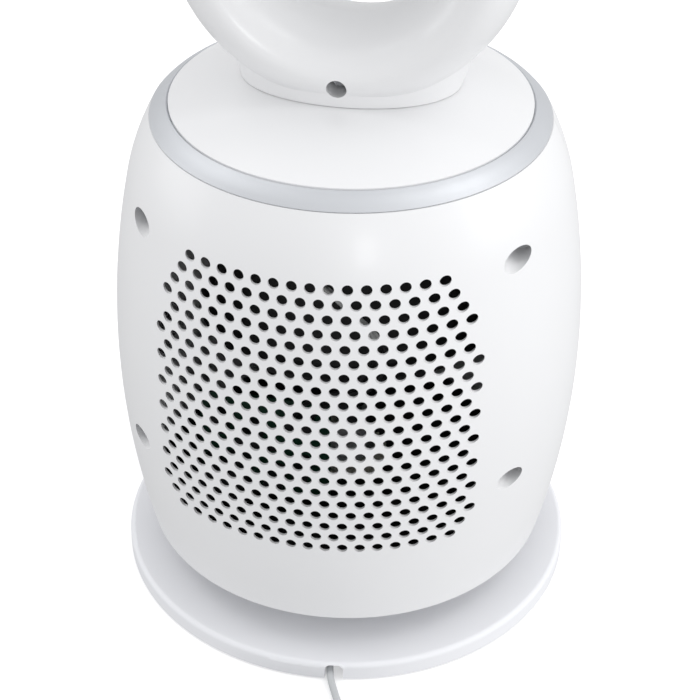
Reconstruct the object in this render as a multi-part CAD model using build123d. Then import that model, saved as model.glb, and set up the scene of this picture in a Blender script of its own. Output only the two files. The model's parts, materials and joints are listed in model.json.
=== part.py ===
from build123d import *
import math
import os

# A tower fan whose air comes out of an oval loop. Millimetres, +Z up, front of the fan towards -Y.
# The origin is on the floor under the centre of the base plate.

# ---- base plate ----
FOOT_LIFT = 1.0                 # rubber feet hold the base plate this far off the floor
BASE_R = 117.0
BASE_TOP = 10.4
BASE_EDGE = 2.6                 # rounding of the rim's top edge
BASE_WALL = 2.4
COVER_R = 111.0
COVER_T = 2.0
NECK_R = 50.0
NECK_TOP = 24.0
SPINDLE_R = 10.0
SPINDLE_BORE_R = 7.0
SPINDLE_TOP = 62.0
NOTCH_X = -13.3                 # cord notch in the rim, beside the rear centre line
NOTCH_W = 9.0
NOTCH_TOP = 9.4
NOTCH_CORNER = 2.6

# ---- barrel ----
BARREL_BOTTOM = 29.8
BARREL_BOTTOM_R = 104.0
BARREL_MAX_R = 115.7
BARREL_MAX_Z = 130.0
SHOULDER_Z = 223.5
SHOULDER_R = 106.1
BARREL_TOP = 255.6
BARREL_TOP_R = 94.3
SHELL_T = 2.8
FLANGE_IN_R = 58.0              # the shells' bottom edges turn inwards under the turntable plate
FLANGE_T = 1.6
SPLIT_Y = -8.0                  # the rear and front shells meet on this plane
SEAM = 0.3

# ---- intake holes: a triangular lattice drawn along Y ----
HOLE_R = 2.5
HOLE_PITCH = 8.1
ROW_PITCH = 7.03
TOP_ROW_Z = 224.25
GRILLE_T = 1.4                  # the shell is thinned behind the holes
GRILLE_MARGIN = 4.0
ROW_COUNTS = [15, 16, 17] + [18, 17, 18, 19] + [18, 19] * 6 + [18, 17]

# ---- screws that join the two barrel shells: X and Z of each axis ----
SHELL_SCREWS = [(85.7, 222.0), (90.0, 104.0)]
RECESS_R = 5.4
RECESS_FLOOR_Y = 44.0
BOSS_R = 8.2
BOSS_JOINT_Y = 8.0              # where each rear boss meets the front shell's pillar

# ---- trim ring and top disc ----
RING_FOOT = (93.9, 256.0)
RING_CROWN = (90.3, 259.5)
RING_HEAD = (85.9, 262.1)
DISC_R = 85.4
DISC_EDGE_Z = 262.3
DOME_R = 211.0                  # radius of the sphere that the top disc belongs to
DISC_T = 2.8
AIR_HOLE = (44.0, 31.0)         # half axes of the air passage through the disc

# ---- air loop ----
LOOP_LOW_Z = 352.0              # centre of the bottom arc
LOOP_HIGH_Z = 504.0             # centre of the top arc
LOOP_OUT_R = 81.0
LOOP_THROAT_R = 43.5
LOOP_CREST_R = 0.5 * (LOOP_OUT_R + LOOP_THROAT_R)
LOOP_BULGE_Y = 42.0             # rearmost point of the loop
LOOP_THROAT_Y = 9.0
LOOP_WALL = 2.4
LOOP_SEAM_Y = -12.0
SLOT_R = 46.9                   # inner wall of the front shell where the air slot opens
SLOT_Y = 8.0
SLOT_OVERLAP = 5.0
LIP_T = 1.3
NOSE_IN = (57.0, -32.0)
NOSE_FRONT = (67.5, -41.0)
NOSE_OUT = (77.5, -33.0)
PEDESTAL = [(262.0, 50.0, 37.0), (276.0, 52.0, 39.0), (290.0, 56.5, 41.2), (308.0, 65.0, 41.2)]
PEDESTAL_WALL = 2.8
LOOP_SCREW_Z = 286.6
LOOP_SCREW_R = 4.6
LOOP_SCREW_FLOOR_Y = 28.0

# ---- head mechanics ----
FLOOR_T = 3.2
FLOOR_R = 100.6
HUB_R = 14.0
HUB_TOP = 48.2
SPINDLE_FIT = 0.08
RACE_R = 39.0
RACE_HALF_W = 5.0
RACE_T = 1.6
BALL_R = 1.8
BALL_COUNT = 24
GEAR_MODULE = 1.0
SUN_TEETH = 40
PINION_TEETH = 16
GEAR_Z = 49.0
GEAR_T = 6.0
PRESSURE_ANGLE = math.radians(20)
BACKLASH = 0.16
OSC_MOTOR_R = 22.0
OSC_MOTOR_TOP = 46.6
OSC_SHAFT_OFFSET = 10.5         # the drive's output shaft sits off its can's centre

# ---- air path ----
DUCT_R = 62.0
DUCT_T = 2.5
DUCT_BOTTOM = 150.0
DUCT_TOP = 258.0
BUCKET_R = 34.0
BUCKET_BOTTOM = 196.0
BUCKET_TOP = 238.0
MOTOR_R = 27.5
MOTOR_BOTTOM = 200.0
MOTOR_TOP = 232.0
SHAFT_R = 3.0
SHAFT_FIT = 0.06
IMPELLER_BOTTOM = 158.0
IMPELLER_TOP = 190.0
IMPELLER_TIP_R = 60.5
BLADES = 9
VANES = 11

# ---- controls on the front ----
BUTTON_NAMES = ["power", "speed_down", "speed_up", "oscillate", "timer"]
BUTTON_PITCH = 18.0
BUTTON_Z = 176.0
BUTTON_R = 5.6
BUTTON_GAP = 0.35
BUTTON_PROUD = 0.9
BUTTON_TRAVEL = 1.2
BUTTON_BOARD_Y = -88.0
BOARD_T = 1.6
WINDOW_W = 46.0
WINDOW_H = 22.0
WINDOW_Z = 203.0
WINDOW_T = 1.4

# ---- power cord: its route is laid on the floor behind the base ----
CORD_R = 1.8
BOOT_START = (-11.0, 84.0, 5.0)
BOOT_R = 2.8
CORD_ROUTE = [
    (-10.2, 109.0, 4.2),
    (-11.4, 116.6, 3.2),
    (-14.8, 124.6, 1.9),
    (-18.4, 132.8, 1.8),
    (-23.6, 142.6, 1.8),
    (-26.4, 154.0, 2.0),
    (-26.6, 165.5, 2.4),
]
COIL_X = -2.0
COIL_Y = 174.0
COIL_LOW = 0.6                  # the tie's band passes under the coil
COIL_H = 14.4
COIL_IN_R = 15.6
COIL_OUT_R = 26.4
TIE_ANGLE = -20.0
TIE_T = 0.5
TIE_GAP = 0.1
TIE_W = 8.0
TAIL_ROUTE = [
    (2.0, 198.4, 13.2),
    (11.5, 199.4, 12.2),
    (21.0, 198.4, 9.6),
    (30.5, 196.8, 7.2),
]
PLUG_Z = 7.0
PLUG_LENGTH = 36.0
PIN_LENGTH = 19.0
PIN_SPACING = 18.6

BIG = 400.0


def slab_y(low, high):
    """Everything between two planes of constant Y."""
    return Pos(0, (low + high) / 2, BIG / 2) * Box(BIG, high - low, 2 * BIG)


def spun(*edges):
    """Solid of revolution about Z from edges drawn as (radius, height)."""
    return revolve(Plane.XZ * make_face(edges), Axis.Z)


def tube(inner, outer, low, high):
    """Upright round tube, or a solid rod when inner is 0."""
    body = Pos(0, 0, low) * extrude(Circle(outer), high - low)
    if inner:
        body -= Pos(0, 0, low) * extrude(Circle(inner), high - low)
    return body


def rod_y(x, z, radius, low, high):
    """Round rod along Y."""
    return Pos(x, low, z) * Rot(-90, 0, 0) * extrude(Circle(radius), high - low)


def barrel_solid(inset):
    """The barrel's whole volume, its skin moved inwards by inset."""
    main = ThreePointArc(
        (BARREL_BOTTOM_R - inset, BARREL_BOTTOM),
        (BARREL_MAX_R - inset, BARREL_MAX_Z),
        (SHOULDER_R - inset, SHOULDER_Z),
    )
    shoulder = TangentArc(main @ 1, (BARREL_TOP_R - inset, BARREL_TOP), tangent=main % 1)
    closing = Polyline(shoulder @ 1, (0, BARREL_TOP), (0, BARREL_BOTTOM), main @ 0)
    return spun(main, shoulder, closing)


def export(name, shape):
    shape.label = name
    export_step(shape, os.path.join("parts", name + ".step"))


def group(solids):
    return Compound(children=[s for piece in solids for s in piece.solids()])


# ---------------------------------------------------------------- base
def notch_channel(top=NOTCH_TOP, width=NOTCH_W, inner_y=80.0):
    """The channel that the cord leaves the base through, round-cornered at its top."""
    section = RectangleRounded(width, 2 * top, NOTCH_CORNER)
    return Pos(NOTCH_X, inner_y, 0) * Rot(-90, 0, 0) * extrude(section, BIG)


def base_plate():
    edge = BASE_EDGE
    skin = make_face([
        *Polyline((0, FOOT_LIFT), (BASE_R, FOOT_LIFT), (BASE_R, BASE_TOP - edge)).edges(),
        *RadiusArc((BASE_R, BASE_TOP - edge), (BASE_R - edge, BASE_TOP), -edge).edges(),
        *Polyline((BASE_R - edge, BASE_TOP), (NECK_R + 3, BASE_TOP), (NECK_R, BASE_TOP + 2),
                  (NECK_R - 2, NECK_TOP), (0, NECK_TOP), (0, FOOT_LIFT)).edges(),
    ])
    plate = revolve(Plane.XZ * skin, Axis.Z)
    ceiling = BASE_TOP - BASE_WALL
    plate -= tube(0, BASE_R - 3.2, FOOT_LIFT, ceiling)
    plate -= tube(0, NECK_R - 5.5, ceiling, NECK_TOP - 2.8)
    plate += tube(0, SPINDLE_R, NECK_TOP - 2.8, SPINDLE_TOP)
    plate -= tube(0, SPINDLE_BORE_R, NECK_TOP - 3, SPINDLE_TOP)
    for x, y in cover_screw_places():
        plate += Pos(x, y, FOOT_LIFT + COVER_T) * extrude(Circle(4), ceiling - FOOT_LIFT - COVER_T)
        plate -= Pos(x, y, FOOT_LIFT) * extrude(Circle(1.2), ceiling - FOOT_LIFT)
    return plate - notch_channel()


def cover_screw_places():
    return [(46.0 * math.cos(a), 46.0 * math.sin(a)) for a in (math.radians(45 + 90 * k) for k in range(4))]


def foot_places():
    return [(98.0 * math.cos(a), 98.0 * math.sin(a)) for a in (math.radians(60 * k) for k in range(6))]


def base_bottom_cover():
    cover = tube(0, COVER_R, FOOT_LIFT, FOOT_LIFT + COVER_T)
    for x, y in cover_screw_places():
        cover -= Pos(x, y, FOOT_LIFT) * extrude(Circle(1.7), COVER_T)
        cover -= Pos(x, y, FOOT_LIFT) * extrude(Circle(3.4), 1.0)
    for x, y in foot_places():
        cover -= Pos(x, y, FOOT_LIFT) * extrude(Circle(7.2), 1.0)
    return cover - notch_channel(width=14, top=20)


def base_weight():
    low = FOOT_LIFT + COVER_T + 0.2
    return tube(54, 106, low, BASE_TOP - BASE_WALL - 0.4) - notch_channel(width=14, top=20, inner_y=0)


def rubber_feet():
    return group([Pos(x, y, 0) * extrude(Circle(7), FOOT_LIFT + 1.0) for x, y in foot_places()])


def base_cover_screws():
    screw = Pos(0, 0, FOOT_LIFT + 0.1) * extrude(Circle(3), 0.9)
    screw -= Pos(0, 0, FOOT_LIFT + 0.1) * (Box(3.2, 0.8, 0.8) + Box(0.8, 3.2, 0.8))
    screw += Pos(0, 0, FOOT_LIFT + 1.0) * extrude(Circle(1.15), 5)
    return group([Pos(x, y, 0) * screw for x, y in cover_screw_places()])


def race(low):
    ring = tube(RACE_R - RACE_HALF_W, RACE_R + RACE_HALF_W, low, low + RACE_T)
    groove = revolve(Plane.XZ * (Pos(RACE_R, ball_height()) * Circle(BALL_R + 0.1)), Axis.Z)
    return ring - groove


def ball_height():
    return (NECK_TOP + BARREL_BOTTOM) / 2


def bearing_balls():
    steps = [360 * k / BALL_COUNT for k in range(BALL_COUNT)]
    return group([Rot(0, 0, a) * Pos(RACE_R, 0, ball_height()) * Sphere(BALL_R) for a in steps])


def involute_gear(teeth, bore, low, thickness, turn=0.0):
    """Spur gear with involute flanks, one tooth centred on +X before it is turned."""
    pitch_r = GEAR_MODULE * teeth / 2
    root_r = pitch_r - 1.2 * GEAR_MODULE
    tip_r = pitch_r + 0.85 * GEAR_MODULE
    base_r = pitch_r * math.cos(PRESSURE_ANGLE)
    half_tooth = (math.pi * GEAR_MODULE / 2 - BACKLASH) / (2 * pitch_r)
    half_tooth += math.tan(PRESSURE_ANGLE) - PRESSURE_ANGLE

    def flank(radius):
        roll = math.acos(min(1.0, base_r / radius))
        return half_tooth - (math.tan(roll) - roll)

    start = max(base_r, root_r)
    radii = [start + (tip_r - start) * k / 4 for k in range(5)]
    side = [(root_r, flank(start))] + [(r, flank(r)) for r in radii if r > root_r]
    outline = []
    for k in range(teeth):
        middle = 2 * math.pi * k / teeth + turn
        outline += [(r * math.cos(middle - a), r * math.sin(middle - a)) for r, a in side]
        outline += [(r * math.cos(middle + a), r * math.sin(middle + a)) for r, a in reversed(side)]
    face = make_face(Polyline(*outline, close=True)) - Circle(bore)
    return Pos(0, 0, low) * extrude(face, thickness)


def spindle_clip():
    top = GEAR_Z + GEAR_T
    return tube(SPINDLE_R, SPINDLE_R + 4, top, top + 1.2) - Pos(SPINDLE_R + 2, 0, top) * Box(8, 5, 4)


def inner_lead():
    """The two-core lead from the cord boot to the top of the hollow spindle."""
    route = [BOOT_START, (-11.5, 62, 5.2), (-5, 36, 5.4), (-0.5, 12, 9), (0, 0.8, 30), (0, 0, 60)]
    return swept_tube(route, 1.9, "inner lead")


def swept_tube(route, radius, name):
    """A tube along straight runs joined by the largest tangent arcs that the runs allow."""
    points = [Vector(*p) for p in route]
    radii = []
    for before, corner, after in zip(points, points[1:], points[2:]):
        turn = math.radians((corner - before).get_angle(after - corner))
        shorter = min((corner - before).length, (after - corner).length)
        radii.append(0.45 * shorter / math.tan(turn / 2))
    path = FilletPolyline(*points, radius=radii)
    section = Plane(origin=path @ 0, z_dir=path % 0) * Circle(radius)
    body = sweep(section, path=path)
    expected = math.pi * radius**2 * path.length
    print(name, "radii", [round(r, 1) for r in radii], "length", round(path.length, 1),
          "volume ratio", round(body.volume / expected, 4))
    return body


# ---------------------------------------------------------------- cord
def cord_boot():
    """Tapered strain relief that sits in the base's channel."""
    start, end = Vector(*BOOT_START), Vector(*CORD_ROUTE[0])
    axis = end - start
    base = Plane(origin=start, z_dir=axis)
    return loft([base * Circle(BOOT_R), base.offset(axis.length) * Circle(CORD_R + 0.3)])


def coil():
    ring = tube(COIL_IN_R, COIL_OUT_R, COIL_LOW, COIL_LOW + COIL_H)
    return Pos(COIL_X, COIL_Y, 0) * fillet(ring.edges(), 1.8)


def cord_tie():
    """A flat band round the coil's turns."""
    low, high = COIL_LOW - TIE_GAP, COIL_LOW + COIL_H + TIE_GAP
    inner, outer = COIL_IN_R - TIE_GAP, COIL_OUT_R + TIE_GAP
    band = tube(inner - TIE_T, outer + TIE_T, low - TIE_T, high + TIE_T) - tube(inner, outer, low, high)
    band &= Pos(outer, 0, high / 2) * Box(2 * outer - inner, TIE_W, 2 * high)
    return Pos(COIL_X, COIL_Y, 0) * Rot(0, 0, TIE_ANGLE) * band


def plug_frame(distance):
    """Section plane of the plug, that far from the end that the cord enters."""
    x, y, _ = TAIL_ROUTE[-1]
    return Plane(origin=(x + distance, y, PLUG_Z), x_dir=(0, 1, 0), z_dir=(1, 0, 0))


def plug_body():
    """Flat two-pin plug, tapering towards the cord."""
    return loft([
        plug_frame(0) * RectangleRounded(8, 7, 2.4),
        plug_frame(PLUG_LENGTH * 0.4) * RectangleRounded(17, 11, 4),
        plug_frame(PLUG_LENGTH) * RectangleRounded(30, 13.6, 5),
    ])


def plug_pins():
    front = plug_frame(PLUG_LENGTH)
    pins = [front * Pos(s * PIN_SPACING / 2, 0) * Circle(2) for s in (-1, 1)]
    return group([extrude(pin, PIN_LENGTH) for pin in pins])


# ---------------------------------------------------------------- head structure
def turntable_plate():
    top = BARREL_BOTTOM + FLOOR_T
    floor = tube(0, FLOOR_R, BARREL_BOTTOM, top)
    ribs = tube(FLOOR_R - 2.4, FLOOR_R, top - 1, top + 5.8)
    for angle in range(0, 360, 45):
        ribs += Rot(0, 0, angle) * Pos(FLOOR_R / 2, 0, top + 1.5) * Box(FLOOR_R - 3, 1.8, 5)
    floor += ribs
    floor += tube(0, HUB_R, BARREL_BOTTOM, HUB_TOP)
    floor -= tube(FLANGE_IN_R - 0.2, BARREL_BOTTOM_R, BARREL_BOTTOM, BARREL_BOTTOM + FLANGE_T + 0.05)
    x, y = osc_motor_centre()
    floor -= Pos(x, y, 0) * tube(0, OSC_MOTOR_R + 1, top, HUB_TOP + 1)
    return floor - tube(0, SPINDLE_R + SPINDLE_FIT, 0, HUB_TOP + 1)


def shell_bosses(low, high, radius):
    places = [(s * x, z) for x, z in SHELL_SCREWS for s in (-1, 1)]
    return [rod_y(x, z, radius, low, high) for x, z in places]


def intake_holes():
    holes = []
    for row, count in enumerate(ROW_COUNTS):
        z = TOP_ROW_Z - row * ROW_PITCH
        for k in range(count):
            x = (k - (count - 1) / 2) * HOLE_PITCH
            holes.append(rod_y(x, z, HOLE_R, 60, 125))
    return holes


def bottom_flange():
    return tube(FLANGE_IN_R, BARREL_BOTTOM_R - SHELL_T / 2, BARREL_BOTTOM, BARREL_BOTTOM + FLANGE_T)


def grille_pocket():
    """The hollow inside the rear shell that leaves it thin behind the holes."""
    half_w = (max(ROW_COUNTS) - 1) / 2 * HOLE_PITCH + HOLE_R + GRILLE_MARGIN
    half_h = (len(ROW_COUNTS) - 1) / 2 * ROW_PITCH + HOLE_R + GRILLE_MARGIN
    middle_z = TOP_ROW_Z - (len(ROW_COUNTS) - 1) / 2 * ROW_PITCH
    window = Pos(0, BARREL_MAX_R, middle_z) * Box(2 * half_w, 2 * BARREL_MAX_R, 2 * half_h)
    return barrel_solid(GRILLE_T) & window


def rear_shell():
    skin = barrel_solid(0) - barrel_solid(SHELL_T) + bottom_flange()
    shell = skin & slab_y(SPLIT_Y + SEAM / 2, BIG)
    shell -= grille_pocket()
    pillars = Compound(children=shell_bosses(BOSS_JOINT_Y, 90, BOSS_R)) & barrel_solid(SHELL_T / 2)
    shell += pillars
    shell -= shell_bosses(RECESS_FLOOR_Y, 125, RECESS_R)
    shell -= shell_bosses(BOSS_JOINT_Y - 1, 125, 2.2)
    return shell - intake_holes()


def front_shell():
    skin = barrel_solid(0) - barrel_solid(SHELL_T) + bottom_flange()
    shell = skin & slab_y(-BIG, SPLIT_Y - SEAM / 2)
    tongue = barrel_solid(SHELL_T + 0.1) - barrel_solid(SHELL_T + 1.4)
    shell += tongue & slab_y(SPLIT_Y - 8, SPLIT_Y + 4) & Pos(0, 0, 140) * Box(BIG, BIG, 170)
    shell += (barrel_solid(0) - barrel_solid(SHELL_T + 0.4)) & slab_y(SPLIT_Y - 8, SPLIT_Y - 1)
    pillars = Compound(children=shell_bosses(-90, BOSS_JOINT_Y - 0.2, 5.4)) & barrel_solid(SHELL_T / 2)
    shell += pillars
    shell -= shell_bosses(-16, 20, 1.5)
    for x in button_places():
        shell -= rod_y(x, BUTTON_Z, BUTTON_R + BUTTON_GAP, -125, -60)
    return shell - window_prism(0, WINDOW_T + 0.1) - window_prism(3, BARREL_TOP_R / 2)


def shell_screws():
    screws = []
    for x, z in [(s * x, z) for x, z in SHELL_SCREWS for s in (-1, 1)]:
        head = rod_y(x, z, 3.8, RECESS_FLOOR_Y, RECESS_FLOOR_Y + 2.6)
        head -= Pos(x, RECESS_FLOOR_Y + 2.6, z) * (Box(4, 2.4, 0.9) + Box(0.9, 2.4, 4))
        screws.append(head + rod_y(x, z, 1.45, -12, RECESS_FLOOR_Y))
    return group(screws)


def trim_ring():
    face_arc = ThreePointArc(RING_FOOT, RING_CROWN, RING_HEAD)
    skirt_in, skirt_out, skirt_low = DISC_R - 0.4, DISC_R + 1.6, BARREL_TOP - 4.6
    underside = BARREL_TOP + 0.15
    back = Polyline(
        RING_HEAD, (skirt_in, RING_HEAD[1] - 0.9), (skirt_in, skirt_low), (skirt_out, skirt_low),
        (skirt_out, underside + 1.8), (skirt_out + 3.8, underside),
        (RING_FOOT[0] - 0.7, underside), RING_FOOT,
    )
    return spun(face_arc, back)


def under_dome(drop):
    """Everything below the dome's surface lowered by drop."""
    centre = DISC_EDGE_Z - math.sqrt(DOME_R**2 - DISC_R**2)
    cap = Pos(0, 0, centre - drop) * Sphere(DOME_R)
    return cap & Pos(0, 0, DISC_EDGE_Z - 20) * Box(2 * DISC_R, 2 * DISC_R, 80)


def oval(a, b, low, high):
    return Pos(0, 0, low) * extrude(Ellipse(a, b), high - low)


def top_disc():
    edge_z = DISC_EDGE_Z - DISC_T
    flange_z, flange_r = BARREL_TOP - 7.6, BARREL_TOP_R - 1.0
    disc = (under_dome(0) - under_dome(DISC_T)) & tube(0, DISC_R - 0.5, flange_z, BIG)
    disc += tube(DISC_R - 3.4, DISC_R - 0.6, flange_z, edge_z + 0.6)
    disc += tube(DISC_R - 3.4, flange_r, flange_z, flange_z + 2.4)
    return disc - oval(AIR_HOLE[0] + 3.4, AIR_HOLE[1] + 3.4, flange_z - 1, BIG)


# ---------------------------------------------------------------- air loop
def bent_section(face):
    """A section drawn as (radius, Y), carried round the loop's two arcs and two straight sides."""
    low = Pos(0, 0, LOOP_LOW_Z) * face
    high = Pos(0, 0, LOOP_HIGH_Z) * face
    bottom = revolve(low, Axis((0, 0, LOOP_LOW_Z), (0, 1, 0)), 180)
    top = revolve(high, Axis((0, 0, LOOP_HIGH_Z), (0, -1, 0)), 180)
    side = extrude(low, LOOP_HIGH_Z - LOOP_LOW_Z, dir=(0, 0, 1))
    return bottom + top + side + mirror(side, Plane.YZ)


def bulge_arc(inset):
    """Half ellipse of the loop's rounded rear, from the outer wall to the throat."""
    half_w = (LOOP_OUT_R - LOOP_THROAT_R) / 2 - inset
    depth = LOOP_BULGE_Y - LOOP_THROAT_Y - inset
    return EllipticalCenterArc((LOOP_CREST_R, LOOP_THROAT_Y), half_w, depth, 0, arc_size=180)


def nose_curve(inset):
    """From the slot, along the flared inner wall, round the front edge and back along the outer wall."""
    inner = TangentArc(
        (SLOT_R + inset, SLOT_Y),
        (NOSE_IN[0] + 0.88 * inset, NOSE_IN[1] + 0.47 * inset),
        tangent=(0, -1),
    )
    outer_start = (NOSE_OUT[0] - 0.986 * inset, NOSE_OUT[1] + 0.165 * inset)
    front = (NOSE_FRONT[0], NOSE_FRONT[1] + inset)
    nose = Spline([inner @ 1, front, outer_start], tangents=[inner % 1, (1, 0), (0.165, 0.986)])
    outer = TangentArc(outer_start, (LOOP_OUT_R - inset, LOOP_THROAT_Y), tangent=(0.165, 0.986))
    return [inner, nose, outer]


def loop_outline():
    lip = Polyline(
        (LOOP_THROAT_R, LOOP_THROAT_Y), (LOOP_THROAT_R, SLOT_Y), (SLOT_R, SLOT_Y),
    )
    return make_face([*bulge_arc(0).edges(), *lip.edges(), *[e for c in nose_curve(0) for e in c.edges()]])


def loop_cavity_outline():
    inset = LOOP_WALL
    tip = SLOT_Y + SLOT_OVERLAP
    lip = Polyline(
        (LOOP_THROAT_R + inset, LOOP_THROAT_Y), (LOOP_THROAT_R + LIP_T, SLOT_Y), (SLOT_R, SLOT_Y),
        (SLOT_R, tip), (SLOT_R + inset, tip), (SLOT_R + inset, SLOT_Y),
    )
    curves = [e for c in nose_curve(inset) for e in c.edges()]
    return make_face([*bulge_arc(inset).edges(), *lip.edges(), *curves])


def pedestal(inset):
    ovals = [Pos(0, 0, z) * Ellipse(a - inset, b - inset) for z, a, b in PEDESTAL]
    body = loft(ovals)
    crest = rod_y(0, LOOP_LOW_Z, LOOP_CREST_R, -100, 100)
    return body - crest


def loop_walls():
    spigot_low = DISC_EDGE_Z - 4
    outside = pedestal(0) - under_dome(-0.35) + oval(AIR_HOLE[0] + 2.8, AIR_HOLE[1] + 2.8, spigot_low, 282)
    outside += bent_section(loop_outline())
    inside = pedestal(PEDESTAL_WALL) - under_dome(-3.2) + oval(*AIR_HOLE, spigot_low, 290)
    inside -= rod_y(0, LOOP_LOW_Z, LOOP_CREST_R, -100, 100)
    inside += bent_section(loop_cavity_outline())
    walls = outside - inside
    walls -= under_dome(-0.35) - oval(AIR_HOLE[0] + 2.81, AIR_HOLE[1] + 2.81, 240, 300)
    groove = make_face(Polyline(
        (LOOP_OUT_R - 1.8, LOOP_SEAM_Y - 0.2), (LOOP_OUT_R + 2, LOOP_SEAM_Y - 0.2),
        (LOOP_OUT_R + 2, LOOP_SEAM_Y + 0.2), (LOOP_OUT_R - 1.8, LOOP_SEAM_Y + 0.2), close=True,
    ))
    return walls - bent_section(groove)


def front_region():
    """The part of the loop that belongs to its front shell."""
    tip = SLOT_Y + SLOT_OVERLAP + 0.1
    wall_zone = make_face(Polyline(
        (SLOT_R - 0.4, LOOP_SEAM_Y - 1), (LOOP_CREST_R, LOOP_SEAM_Y - 1),
        (LOOP_CREST_R, tip), (SLOT_R - 0.4, tip), close=True,
    ))
    return slab_y(-BIG, LOOP_SEAM_Y) & Pos(0, 0, BIG) * Box(BIG, BIG, BIG), bent_section(wall_zone)


def loop_shells():
    walls = loop_walls()
    front_half, inner_wall = front_region()
    front = (walls & front_half) + (walls & inner_wall)
    rear = walls - front_half - inner_wall
    boss = rod_y(0, LOOP_SCREW_Z, LOOP_SCREW_R + 2, 8, 60) & pedestal(1.0)
    rear += boss
    rear -= rod_y(0, LOOP_SCREW_Z, LOOP_SCREW_R, LOOP_SCREW_FLOOR_Y, 60)
    rear -= rod_y(0, LOOP_SCREW_Z, 1.8, 0, 60)
    post = rod_y(0, LOOP_SCREW_Z, 4, -60, 7.8) & pedestal(1.0)
    front += post
    front -= rod_y(0, LOOP_SCREW_Z, 1.4, -14, 20)
    return rear, front


def loop_screw():
    top = LOOP_SCREW_FLOOR_Y + 2.4
    head = rod_y(0, LOOP_SCREW_Z, 3.6, LOOP_SCREW_FLOOR_Y, top)
    head -= Pos(0, top, LOOP_SCREW_Z) * (Box(4, 2, 0.9) + Box(0.9, 2, 4))
    return head + rod_y(0, LOOP_SCREW_Z, 1.35, -10, LOOP_SCREW_FLOOR_Y)


def loop_seal():
    """Soft gasket round the loop's spigot, under the top disc."""
    a, b = AIR_HOLE
    low = DISC_EDGE_Z + 5
    return oval(a + 6, b + 6, low, low + 3) - oval(a + 3, b + 3, low, low + 3)


# ---------------------------------------------------------------- air path
def air_duct():
    bell = Polyline(
        (DUCT_R, DUCT_BOTTOM + 10), (DUCT_R + 3, DUCT_BOTTOM + 4), (DUCT_R + 12, DUCT_BOTTOM),
        (DUCT_R + 12, DUCT_BOTTOM + DUCT_T), (DUCT_R + 5, DUCT_BOTTOM + 6),
        (DUCT_R + DUCT_T, DUCT_BOTTOM + 12), (DUCT_R + DUCT_T, DUCT_TOP - 2.5),
        (DUCT_R + 12, DUCT_TOP - 2.5), (DUCT_R + 12, DUCT_TOP), (DUCT_R, DUCT_TOP), close=True,
    )
    return spun(bell)


def diffuser():
    """Motor bucket held in the duct by curved stator vanes."""
    bucket = tube(BUCKET_R - 2.5, BUCKET_R, BUCKET_BOTTOM, BUCKET_TOP)
    bucket += tube(SHAFT_R + 6, BUCKET_R, BUCKET_BOTTOM, BUCKET_BOTTOM + 2.5)
    cap = spun(Polyline((0, BUCKET_TOP), (BUCKET_R, BUCKET_TOP), (20, BUCKET_TOP + 12),
                        (0, BUCKET_TOP + 15), close=True))
    vane_height = 32.0
    radial = DUCT_R - BUCKET_R + 1.5
    for k in range(VANES):
        blade = Rot(24, 0, 0) * Box(radial, 1.8, vane_height)
        bucket += Rot(0, 0, 360 * k / VANES) * Pos(BUCKET_R + radial / 2 - 1, 0, 216) * blade
    bucket &= tube(0, DUCT_R - 0.05, BUCKET_BOTTOM, BUCKET_TOP)
    bucket -= tube(0, BUCKET_R - 2.5, BUCKET_BOTTOM + 2.5, BUCKET_TOP)
    return bucket + cap


def motor():
    can = tube(0, MOTOR_R, MOTOR_BOTTOM, MOTOR_TOP)
    can = fillet(can.edges(), 2)
    for k in range(8):
        can -= Rot(0, 0, 45 * k) * Pos(MOTOR_R - 6, 0, MOTOR_TOP - 1) * Box(9, 4, 4)
    return can - tube(0, 8.1, 0, BIG)


def motor_bearings():
    """Bronze sleeves at both ends of the motor."""
    sleeves = [tube(SHAFT_R + SHAFT_FIT, 8.1, low, low + 8) for low in (MOTOR_BOTTOM, MOTOR_TOP - 8)]
    return group(sleeves)


def motor_bushes():
    outer = BUCKET_R - 2.6
    return group([tube(MOTOR_R, outer, low, low + 6) for low in (MOTOR_BOTTOM + 3, MOTOR_TOP - 9)])


def impeller():
    hub = spun(Polyline((SHAFT_R, IMPELLER_BOTTOM), (10, IMPELLER_BOTTOM), (14, IMPELLER_BOTTOM + 5),
                        (20, IMPELLER_BOTTOM + 16), (33, IMPELLER_TOP), (SHAFT_R, IMPELLER_TOP), close=True))
    blade_zone = spun(Polyline((8, IMPELLER_BOTTOM + 1), (46, IMPELLER_BOTTOM + 1),
                               (IMPELLER_TIP_R, IMPELLER_BOTTOM + 10), (IMPELLER_TIP_R, IMPELLER_TOP),
                               (8, IMPELLER_TOP), close=True))
    blade_zone -= hub
    span = IMPELLER_TIP_R
    blades = []
    middle_z = (IMPELLER_BOTTOM + IMPELLER_TOP) / 2
    for k in range(BLADES):
        blade = Pos(span / 2 + 6, 0, middle_z) * Rot(38, 0, 0) * Box(span, 1.8, 60)
        blades.append(Rot(0, 0, 360 * k / BLADES) * blade & blade_zone)
    return hub + blades


def motor_shaft():
    return tube(0, SHAFT_R, IMPELLER_BOTTOM - 7, MOTOR_TOP + 2)


def impeller_nut():
    return Pos(0, 0, IMPELLER_BOTTOM - 5) * extrude(RegularPolygon(6, 6) - Circle(SHAFT_R), 5)


# ---------------------------------------------------------------- oscillation drive
def osc_angle():
    return math.radians(-60)


def osc_shaft_place():
    reach = GEAR_MODULE * (SUN_TEETH + PINION_TEETH) / 2
    return reach * math.cos(osc_angle()), reach * math.sin(osc_angle())


def osc_motor_centre():
    reach = GEAR_MODULE * (SUN_TEETH + PINION_TEETH) / 2 + OSC_SHAFT_OFFSET
    return reach * math.cos(osc_angle()), reach * math.sin(osc_angle())


def sun_gear():
    return involute_gear(SUN_TEETH, SPINDLE_R, GEAR_Z, GEAR_T)


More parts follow.
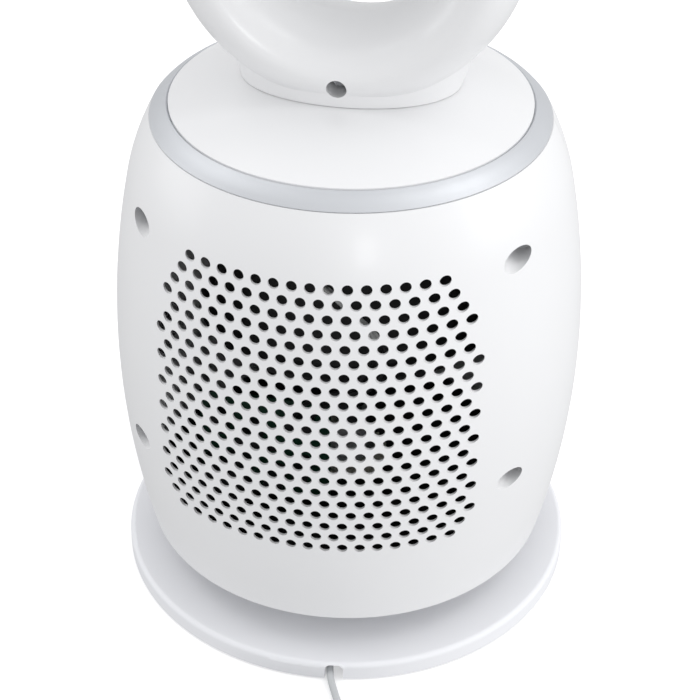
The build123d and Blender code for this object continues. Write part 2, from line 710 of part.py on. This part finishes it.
def pinion():
    """The pinion has a gap where the sun gear has a tooth on their common line."""
    x, y = osc_shaft_place()
    sun_phase = (osc_angle() * SUN_TEETH / (2 * math.pi)) % 1
    turn = osc_angle() + math.pi + (0.5 + sun_phase) * 2 * math.pi / PINION_TEETH
    wheel = involute_gear(PINION_TEETH, 2.5, GEAR_Z, GEAR_T, turn)
    stub = tube(0, 2.5, OSC_MOTOR_TOP + 0.4, GEAR_Z + GEAR_T + 1)
    return Pos(x, y, 0) * (wheel + stub)


def oscillation_motor():
    x, y = osc_motor_centre()
    can = Pos(x, y, 0) * tube(0, OSC_MOTOR_R, BARREL_BOTTOM + FLOOR_T, OSC_MOTOR_TOP - 1)
    gearbox = Pos(x, y, 0) * tube(0, OSC_MOTOR_R - 3, OSC_MOTOR_TOP - 1, OSC_MOTOR_TOP)
    ears = Pos(x, y, OSC_MOTOR_TOP - 2) * Rot(0, 0, math.degrees(osc_angle()) + 90) * Box(58, 8, 1)
    ears -= Pos(x, y, 0) * tube(0, OSC_MOTOR_R - 1, 0, 60)
    body = can + gearbox + ears
    for px, py in osc_screw_places():
        body -= Pos(px, py, 40) * extrude(Circle(1.7), 10)
    return body


def osc_screw_places():
    x, y = osc_motor_centre()
    side = osc_angle() + math.pi / 2
    return [(x + s * 26 * math.cos(side), y + s * 26 * math.sin(side)) for s in (-1, 1)]


def oscillation_motor_screws():
    ear_top = OSC_MOTOR_TOP - 1.5
    screw = tube(0, 2.8, ear_top, ear_top + 1.8) + tube(0, 1.5, BARREL_BOTTOM + FLOOR_T + 4, ear_top)
    return group([Pos(x, y, 0) * screw for x, y in osc_screw_places()])


# ---------------------------------------------------------------- electrics
def power_board():
    return Pos(34, 46, 88) * Box(66, BOARD_T, 58)


def power_components():
    """Transformer, capacitors and connector standing on the power board."""
    face = 46.8
    parts = [Pos(52, face + 9, 72) * Box(22, 18, 20), Pos(16, face + 3, 106) * Box(14, 6, 9)]
    parts += [rod_y(x, z, r, face, face + 14) for x, z, r in ((28, 72, 5), (14, 80, 4), (40, 98, 6))]
    parts += [Pos(56, face + 4, 104) * Box(9, 8, 12), Pos(30, face + 1.2, 88) * Box(10, 2.4, 4)]
    return group(parts)


def button_board():
    return Pos(0, BUTTON_BOARD_Y, BUTTON_Z) * Box(96, BOARD_T, 14)


def display_board():
    return Pos(0, -98.5, WINDOW_Z) * Box(42, BOARD_T, 18)


def wire_harness():
    """Leads from the power board's connector, past the duct's bell, to a place beside its wall."""
    routes = [
        [(12, 55, 111), (0, 62, 130), (-24, 74, 150), (-30, 74, 166), (-28, 75, 178), (-20, 77, 189),
         (-10, 77, 198), (2, 74, 208), (16, 65, 216)],
        [(16, 55, 111), (4, 64, 131), (-21, 77, 152), (-27, 77, 168), (-25, 77.5, 182), (-17, 79, 193),
         (-7, 79, 202), (5, 76, 212), (19, 66, 220)],
        [(20, 55, 111), (9, 66, 133), (-17, 80, 154), (-23, 79.5, 170), (-22, 79.5, 186), (-14, 81, 197),
         (-4, 81, 206), (8, 78, 216), (22, 66, 224)],
    ]
    return group([swept_tube(r, 1.15, "harness wire") for r in routes])


# ---------------------------------------------------------------- controls
def window_prism(inset, depth):
    """The window's outline, run in from the front to that depth under the barrel's skin."""
    window = RectangleRounded(WINDOW_W - 2 * inset, WINDOW_H - 2 * inset, 6 - inset)
    prism = Pos(0, -60, WINDOW_Z) * Rot(90, 0, 0) * extrude(window, 70)
    return prism - barrel_solid(depth)


def display_window():
    return window_prism(0.15, WINDOW_T) & barrel_solid(0.1)


def button_places():
    count = len(BUTTON_NAMES)
    return [(k - (count - 1) / 2) * BUTTON_PITCH for k in range(count)]


def button(x):
    """Cap that follows the barrel's skin, on a stem that stops its travel short of the board."""
    skin_y = -math.sqrt(114**2 - x**2)
    cap = rod_y(x, BUTTON_Z, BUTTON_R, -125, skin_y + 7) & barrel_solid(-BUTTON_PROUD)
    stem_end = BUTTON_BOARD_Y - BOARD_T / 2 - BUTTON_TRAVEL - 0.6
    return cap + rod_y(x, BUTTON_Z, 2.2, skin_y + 5, stem_end)


def build():
    os.makedirs("parts", exist_ok=True)
    loop_rear, loop_front = loop_shells()
    nodes = {
        "base_plate": base_plate(),
        "base_bottom_cover": base_bottom_cover(),
        "base_weight": base_weight(),
        "rubber_feet": rubber_feet(),
        "base_cover_screws": base_cover_screws(),
        "lower_race": race(NECK_TOP),
        "bearing_balls": bearing_balls(),
        "sun_gear": sun_gear(),
        "spindle_clip": spindle_clip(),
        "inner_lead": inner_lead(),
        "cord_boot": cord_boot(),
        "power_cord": swept_tube(CORD_ROUTE, CORD_R, "power cord"),
        "cord_coil": coil(),
        "cord_tail": swept_tube(TAIL_ROUTE, CORD_R, "cord tail"),
        "cord_tie": cord_tie(),
        "plug_body": plug_body(),
        "plug_pins": plug_pins(),
        "turntable_plate": turntable_plate(),
        "upper_race": race(BARREL_BOTTOM - RACE_T),
        "rear_shell": rear_shell(),
        "front_shell": front_shell(),
        "shell_screws": shell_screws(),
        "trim_ring": trim_ring(),
        "top_disc": top_disc(),
        "loop_rear_shell": loop_rear,
        "loop_front_shell": loop_front,
        "loop_screw": loop_screw(),
        "loop_seal": loop_seal(),
        "air_duct": air_duct(),
        "diffuser": diffuser(),
        "motor": motor(),
        "motor_bearings": motor_bearings(),
        "motor_bushes": motor_bushes(),
        "impeller": impeller(),
        "motor_shaft": motor_shaft(),
        "impeller_nut": impeller_nut(),
        "pinion": pinion(),
        "oscillation_motor": oscillation_motor(),
        "oscillation_motor_screws": oscillation_motor_screws(),
        "power_board": power_board(),
        "power_components": power_components(),
        "button_board": button_board(),
        "display_board": display_board(),
        "wire_harness": wire_harness(),
        "display_window": display_window(),
    }
    for name, x in zip(BUTTON_NAMES, button_places()):
        nodes["button_" + name] = button(x)
    for name, shape in nodes.items():
        export(name, shape)
        print(name, "solids", len(shape.solids()), "volume", round(shape.volume))


build()
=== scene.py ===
import json
import math

import bpy
from mathutils import Matrix, Vector


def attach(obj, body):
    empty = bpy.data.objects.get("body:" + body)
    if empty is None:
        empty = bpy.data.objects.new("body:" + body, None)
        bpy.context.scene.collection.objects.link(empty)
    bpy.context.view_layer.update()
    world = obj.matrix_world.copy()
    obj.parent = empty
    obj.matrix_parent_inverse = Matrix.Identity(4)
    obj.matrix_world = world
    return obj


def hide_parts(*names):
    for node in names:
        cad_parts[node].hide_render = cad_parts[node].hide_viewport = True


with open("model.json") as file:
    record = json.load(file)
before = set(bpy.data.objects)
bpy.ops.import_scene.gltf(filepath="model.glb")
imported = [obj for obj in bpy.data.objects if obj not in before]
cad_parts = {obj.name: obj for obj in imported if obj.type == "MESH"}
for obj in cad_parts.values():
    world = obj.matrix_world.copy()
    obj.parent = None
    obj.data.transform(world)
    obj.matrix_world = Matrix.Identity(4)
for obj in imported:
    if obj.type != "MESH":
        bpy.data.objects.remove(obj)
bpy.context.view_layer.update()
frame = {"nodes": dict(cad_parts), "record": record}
nodes = frame["nodes"]

MM = 0.001

# ---- camera, in the row frame ----
CAMERA_AT = (-0.1202, 0.7403, 0.6527)
LOOK_AZIMUTH = math.radians(170.84)      # from +Y towards +X
LOOK_DOWN = math.radians(35.505)
CAMERA_ROLL = math.radians(0.688)
FOCAL_LENGTH = 92.78
SENSOR_WIDTH = 36.0

# ---- light ----
ROOM_BRIGHT_SIDE = (-0.6, 0.25, 0.76)
ROOM_DARK = 0.56
ROOM_LIGHT = 1.0
ROOM_COLOUR = (0.985, 0.99, 1.0, 1)
MIDDLE = (0, 0, 0.2)
FOOT = (0, 0, 0.1)
SOFT_BOXES = [                           # name, place, aim, size and watts
    ("box_left", (1.45, -0.25, 1.95), MIDDLE, (1.15, 1.15), 7.8),
    ("box_right", (-1.4, -0.12, 2.1), MIDDLE, (1.3, 1.3), 11.0),
    ("box_rear", (-0.62, 2.04, 0.56), MIDDLE, (0.34, 0.5), 4.0),
    ("panel_left", (1.9, 0.15, 0.55), FOOT, (1.2, 1.0), 5.0),
    ("panel_right", (-1.9, 0.15, 0.55), FOOT, (1.2, 1.0), 6.8),
]
FLOOR_HALF = 30.0
FLOOR_COLOUR = (0.86, 0.86, 0.86, 1)
FLOOR_GLOW = 0.3

# ---- materials: two close colours, a range of roughness, grain per metre and relief in metres ----
FINISHES = {
    "shell_white": (
        ((0.79, 0.792, 0.80), (0.81, 0.812, 0.82)), (0.33, 0.37), 1600, 0.000003, {"coat": 0.1}),
    "loop_white": (
        ((0.785, 0.787, 0.795), (0.805, 0.807, 0.815)), (0.285, 0.295), 1600, 0.0000004, {"coat": 0.15}),
    "base_shell": (
        ((0.79, 0.795, 0.82), (0.815, 0.82, 0.845)), (0.52, 0.58), 1600, 0.000004, {"specular": 0.25}),
    "button_white": (
        ((0.78, 0.785, 0.80), (0.81, 0.815, 0.83)), (0.3, 0.4), 1400, 0.00003, {}),
    "silver_trim": (
        ((0.57, 0.585, 0.61), (0.62, 0.635, 0.66)), (0.46, 0.52), 3200, 0.000004, {"metallic": 0.6}),
    "dark_plastic": (
        ((0.02, 0.02, 0.022), (0.03, 0.03, 0.032)), (0.5, 0.65), 2200, 0.00006, {}),
    "inner_plastic": (
        ((0.015, 0.015, 0.016), (0.022, 0.022, 0.023)), (0.55, 0.7), 2200, 0.00006, {}),
    "impeller_plastic": (
        ((0.03, 0.031, 0.034), (0.04, 0.041, 0.045)), (0.45, 0.6), 1800, 0.00005, {}),
    "rubber": (
        ((0.015, 0.015, 0.015), (0.025, 0.025, 0.025)), (0.7, 0.85), 2600, 0.0001, {}),
    "screw_steel": (
        ((0.45, 0.46, 0.48), (0.58, 0.59, 0.6)), (0.3, 0.45), 3000, 0.00004, {"metallic": 1.0}),
    "race_steel": (
        ((0.5, 0.51, 0.53), (0.6, 0.61, 0.62)), (0.2, 0.35), 2500, 0.00003, {"metallic": 1.0}),
    "cast_weight": (
        ((0.06, 0.06, 0.062), (0.1, 0.1, 0.1)), (0.6, 0.8), 1200, 0.0003, {"metallic": 0.7}),
    "gear_plastic": (
        ((0.72, 0.70, 0.62), (0.78, 0.76, 0.68)), (0.4, 0.5), 1500, 0.00004, {}),
    "cord_sheath": (
        ((0.50, 0.515, 0.525), (0.56, 0.575, 0.585)), (0.42, 0.55), 1600, 0.00006, {}),
    "plug_plastic": (
        ((0.68, 0.69, 0.70), (0.73, 0.74, 0.75)), (0.38, 0.5), 1600, 0.00005, {}),
    "pin_metal": (
        ((0.7, 0.67, 0.6), (0.78, 0.75, 0.69)), (0.15, 0.28), 2500, 0.00002, {"metallic": 1.0}),
    "motor_metal": (
        ((0.16, 0.17, 0.18), (0.22, 0.23, 0.24)), (0.35, 0.5), 1800, 0.00005, {"metallic": 0.8}),
    "bronze": (
        ((0.42, 0.26, 0.12), (0.5, 0.32, 0.16)), (0.35, 0.5), 2500, 0.00005, {"metallic": 1.0}),
    "board_green": (
        ((0.008, 0.045, 0.025), (0.012, 0.06, 0.033)), (0.3, 0.45), 700, 0.00005, {}),
    "component_black": (
        ((0.010, 0.010, 0.011), (0.016, 0.016, 0.018)), (0.4, 0.6), 1500, 0.00005, {}),
    "wire_white": (
        ((0.66, 0.67, 0.66), (0.74, 0.75, 0.74)), (0.4, 0.5), 1500, 0.00005, {}),
    "smoked_window": (
        ((0.008, 0.008, 0.01), (0.012, 0.012, 0.014)), (0.06, 0.12), 600, 0.000005, {"coat": 0.6}),
}
COAT_ROUGHNESS = 0.12
PATCH = 9.0                              # broad colour patches, per metre
GLOSS_PATCH = 54.0
PAINTED_SHADE_TOP = 0.181                       # painted shade: below this height the wires are coloured dark, standing in for the shade inside the barrel
# the dark colour of the painted shade on the wires
PAINTED_SHADE_COLOUR = (0.012, 0.012, 0.013, 1)
MIX_FIRST, MIX_SECOND, MIX_RESULT = 6, 7, 2      # a colour mix node's sockets

# ---- cord: the CAD route, then the coil's turns, then the tail ----
CORD_R = 1.8 * MM
CORD_ROUTE = [
    (-10.2, 109.0, 4.2),
    (-11.4, 116.6, 3.2),
    (-14.8, 124.6, 1.9),
    (-18.4, 132.8, 1.8),
    (-23.6, 142.6, 1.8),
    (-26.4, 154.0, 2.0),
    (-26.6, 165.5, 2.4),
]
TAIL_ROUTE = [
    (2.0, 198.4, 13.2),
    (11.5, 199.4, 12.2),
    (21.0, 198.4, 9.6),
    (30.5, 196.8, 7.2),
]
COIL_X, COIL_Y, COIL_LOW = -2.0, 174.0, 0.6
COIL_OUT_R = 26.4
RINGS = 3
TURNS = 12.25
TURN_POINTS = 16
STEP_SHARE = 0.25                        # the share of a turn in which it changes ring or layer


# ---------------------------------------------------------------- camera, light and stage
def place_camera():
    forward = Vector((
        math.sin(LOOK_AZIMUTH) * math.cos(LOOK_DOWN),
        math.cos(LOOK_AZIMUTH) * math.cos(LOOK_DOWN),
        -math.sin(LOOK_DOWN),
    ))
    level = forward.cross(Vector((0, 0, 1))).normalized()
    upright = level.cross(forward)
    right = level * math.cos(CAMERA_ROLL) + upright * math.sin(CAMERA_ROLL)
    up = upright * math.cos(CAMERA_ROLL) - level * math.sin(CAMERA_ROLL)
    data = bpy.data.cameras.new("camera")
    data.lens = FOCAL_LENGTH
    data.sensor_width = SENSOR_WIDTH
    data.clip_end = 20
    camera = bpy.data.objects.new("camera", data)
    turn = Matrix((right, up, -forward)).transposed().to_4x4()
    camera.matrix_world = Matrix.Translation(CAMERA_AT) @ turn
    bpy.context.scene.collection.objects.link(camera)
    bpy.context.scene.camera = camera


def area_light(name, at, towards, size, watts):
    data = bpy.data.lights.new(name, "AREA")
    data.shape = "RECTANGLE"
    data.size, data.size_y = size
    data.energy = watts
    light = bpy.data.objects.new(name, data)
    light.location = at
    light.rotation_euler = (Vector(towards) - Vector(at)).to_track_quat("-Z", "Y").to_euler()
    bpy.context.scene.collection.objects.link(light)


def light_room():
    """A white room, brighter on the right of the picture, with soft boxes and side panels."""
    world = bpy.data.worlds.new("room")
    bpy.context.scene.world = world
    world.use_nodes = True
    tree = world.node_tree
    background = tree.nodes["Background"]
    direction = tree.nodes.new("ShaderNodeTexCoord")
    axis = tree.nodes.new("ShaderNodeVectorMath")
    axis.operation = "DOT_PRODUCT"
    axis.inputs[1].default_value = ROOM_BRIGHT_SIDE
    ramp = tree.nodes.new("ShaderNodeMapRange")
    ramp.inputs["From Min"].default_value = -1
    ramp.inputs["To Min"].default_value = ROOM_DARK
    ramp.inputs["To Max"].default_value = ROOM_LIGHT
    tree.links.new(direction.outputs["Generated"], axis.inputs[0])
    tree.links.new(axis.outputs["Value"], ramp.inputs["Value"])
    tree.links.new(ramp.outputs["Result"], background.inputs["Strength"])
    background.inputs["Color"].default_value = ROOM_COLOUR
    for box in SOFT_BOXES:
        area_light(*box)


def lay_floor():
    mesh = bpy.data.meshes.new("floor")
    corners = [(x * FLOOR_HALF, y * FLOOR_HALF, 0) for x, y in ((-1, -1), (1, -1), (1, 1), (-1, 1))]
    mesh.from_pydata(corners, [], [(0, 1, 2, 3)])
    floor = bpy.data.objects.new("floor", mesh)
    bpy.context.scene.collection.objects.link(floor)
    material = bpy.data.materials.new("pale_floor")
    material.use_nodes = True
    shader = material.node_tree.nodes["Principled BSDF"]
    shader.inputs["Base Color"].default_value = FLOOR_COLOUR
    shader.inputs["Roughness"].default_value = 0.9
    shader.inputs["Specular IOR Level"].default_value = 0.1
    shader.inputs["Emission Color"].default_value = (1, 1, 1, 1)
    shader.inputs["Emission Strength"].default_value = FLOOR_GLOW
    mesh.materials.append(material)
    floor.visible_diffuse = False
    floor.visible_glossy = False


# ---------------------------------------------------------------- materials
def link(tree, source, target):
    tree.links.new(source, target)


def noise(tree, scale, detail=3.0):
    """Noise over the object's own coordinates, in metres."""
    coordinates = tree.nodes.new("ShaderNodeTexCoord")
    texture = tree.nodes.new("ShaderNodeTexNoise")
    texture.inputs["Scale"].default_value = scale
    texture.inputs["Detail"].default_value = detail
    link(tree, coordinates.outputs["Object"], texture.inputs["Vector"])
    return texture.outputs["Fac"]


def spread(tree, value, low, high, start=0.3, end=0.7):
    """Maps the middle of a noise onto low to high."""
    ramp = tree.nodes.new("ShaderNodeMapRange")
    for name, number in (("From Min", start), ("From Max", end), ("To Min", low), ("To Max", high)):
        ramp.inputs[name].default_value = number
    link(tree, value, ramp.inputs["Value"])
    return ramp.outputs["Result"]


def mixed(tree, factor, first, second):
    mix = tree.nodes.new("ShaderNodeMix")
    mix.data_type = "RGBA"
    mix.inputs[MIX_FIRST].default_value = (*first, 1)
    mix.inputs[MIX_SECOND].default_value = (*second, 1)
    link(tree, factor, mix.inputs["Factor"])
    return mix.outputs[MIX_RESULT]


def bumped(tree, value, distance):
    bump = tree.nodes.new("ShaderNodeBump")
    bump.inputs["Strength"].default_value = 1.0
    bump.inputs["Distance"].default_value = distance
    link(tree, value, bump.inputs["Height"])
    return bump.outputs["Normal"]


def surface(name, colours, roughness, grain, relief, metallic=0.0, coat=0.0, specular=0.5):
    """A moulded or machined surface: two colours in broad patches, uneven gloss and fine relief."""
    material = bpy.data.materials.new(name)
    material.use_nodes = True
    tree = material.node_tree
    shader = tree.nodes["Principled BSDF"]
    shader.inputs["Metallic"].default_value = metallic
    shader.inputs["Coat Weight"].default_value = coat
    shader.inputs["Coat Roughness"].default_value = COAT_ROUGHNESS
    shader.inputs["Specular IOR Level"].default_value = specular
    broad = spread(tree, noise(tree, PATCH), 0.0, 1.0)
    link(tree, mixed(tree, broad, *colours), shader.inputs["Base Color"])
    gloss = spread(tree, noise(tree, GLOSS_PATCH), *roughness)
    link(tree, gloss, shader.inputs["Roughness"])
    fine = noise(tree, grain, 4.0)
    link(tree, bumped(tree, fine, relief), shader.inputs["Normal"])
    return material


def add_painted_shade(material):
    """Paints shade: colours everything below a height dark, standing in for the shade inside the barrel.
    """
    tree = material.node_tree
    shader = tree.nodes["Principled BSDF"]
    bare = shader.inputs["Base Color"].links[0].from_socket
    coordinates = tree.nodes.new("ShaderNodeTexCoord")
    axes = tree.nodes.new("ShaderNodeSeparateXYZ")
    above = tree.nodes.new("ShaderNodeMath")
    above.operation = "GREATER_THAN"
    above.inputs[1].default_value = PAINTED_SHADE_TOP
    choice = tree.nodes.new("ShaderNodeMix")
    choice.data_type = "RGBA"
    # painted shade: the dark colour used below the height
    choice.inputs[MIX_FIRST].default_value = PAINTED_SHADE_COLOUR
    link(tree, coordinates.outputs["Object"], axes.inputs["Vector"])
    link(tree, axes.outputs["Z"], above.inputs[0])
    link(tree, above.outputs["Value"], choice.inputs["Factor"])
    link(tree, bare, choice.inputs[MIX_SECOND])
    link(tree, choice.outputs[MIX_RESULT], shader.inputs["Base Color"])


def make_materials():
    made = {name: surface(name, *finish[:-1], **finish[-1]) for name, finish in FINISHES.items()}
    # the lower wires get painted shade, a dark colour standing in for the shade inside the barrel
    add_painted_shade(made["wire_white"])
    return made


def dress_cad_nodes(materials):
    for part in frame["record"]["subparts"]:
        node = nodes[part["node"]]
        for slot in node.material_slots:
            slot.material = materials[part["material_slot"]]


# ---------------------------------------------------------------- cord
def ring_and_layer(turn):
    """Which ring, counted inwards, and which layer a turn lies in: in, out, in, out."""
    layer, place = divmod(turn, RINGS)
    return (place if layer % 2 == 0 else RINGS - 1 - place), layer


def coil_points():
    pitch = 2 * CORD_R / MM
    points = []
    for k in range(1, int(TURNS * TURN_POINTS)):
        turn, share = divmod(k / TURN_POINTS, 1)
        ring, layer = ring_and_layer(int(turn))
        next_ring, next_layer = ring_and_layer(int(turn) + 1)
        step = max(0.0, (share - 1 + STEP_SHARE) / STEP_SHARE)
        radius = COIL_OUT_R - pitch * (0.5 + ring + (next_ring - ring) * step)
        height = COIL_LOW + pitch * (0.5 + layer + (next_layer - layer) * step)
        angle = math.pi - 2 * math.pi * k / TURN_POINTS
        points.append((COIL_X + radius * math.cos(angle), COIL_Y + radius * math.sin(angle), height))
    return points


def make_cord(materials):
    curve = bpy.data.curves.new("power_cord_run", "CURVE")
    curve.dimensions = "3D"
    curve.bevel_depth = CORD_R
    curve.bevel_resolution = 6
    curve.resolution_u = 6
    curve.use_fill_caps = True
    spline = curve.splines.new("NURBS")
    route = CORD_ROUTE + coil_points() + TAIL_ROUTE
    spline.points.add(len(route) - 1)
    for point, (x, y, z) in zip(spline.points, route):
        point.co = (x * MM, y * MM, z * MM, 1)
    spline.order_u = 3
    spline.use_endpoint_u = True
    cord = bpy.data.objects.new("power_cord_run", curve)
    bpy.context.scene.collection.objects.link(cord)
    curve.materials.append(materials["cord_sheath"])
    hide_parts("power_cord", "cord_coil", "cord_tail")
    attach(cord, "base")


bpy.context.scene.view_settings.view_transform = "Standard"
place_camera()
light_room()
lay_floor()
materials = make_materials()
dress_cad_nodes(materials)
make_cord(materials)
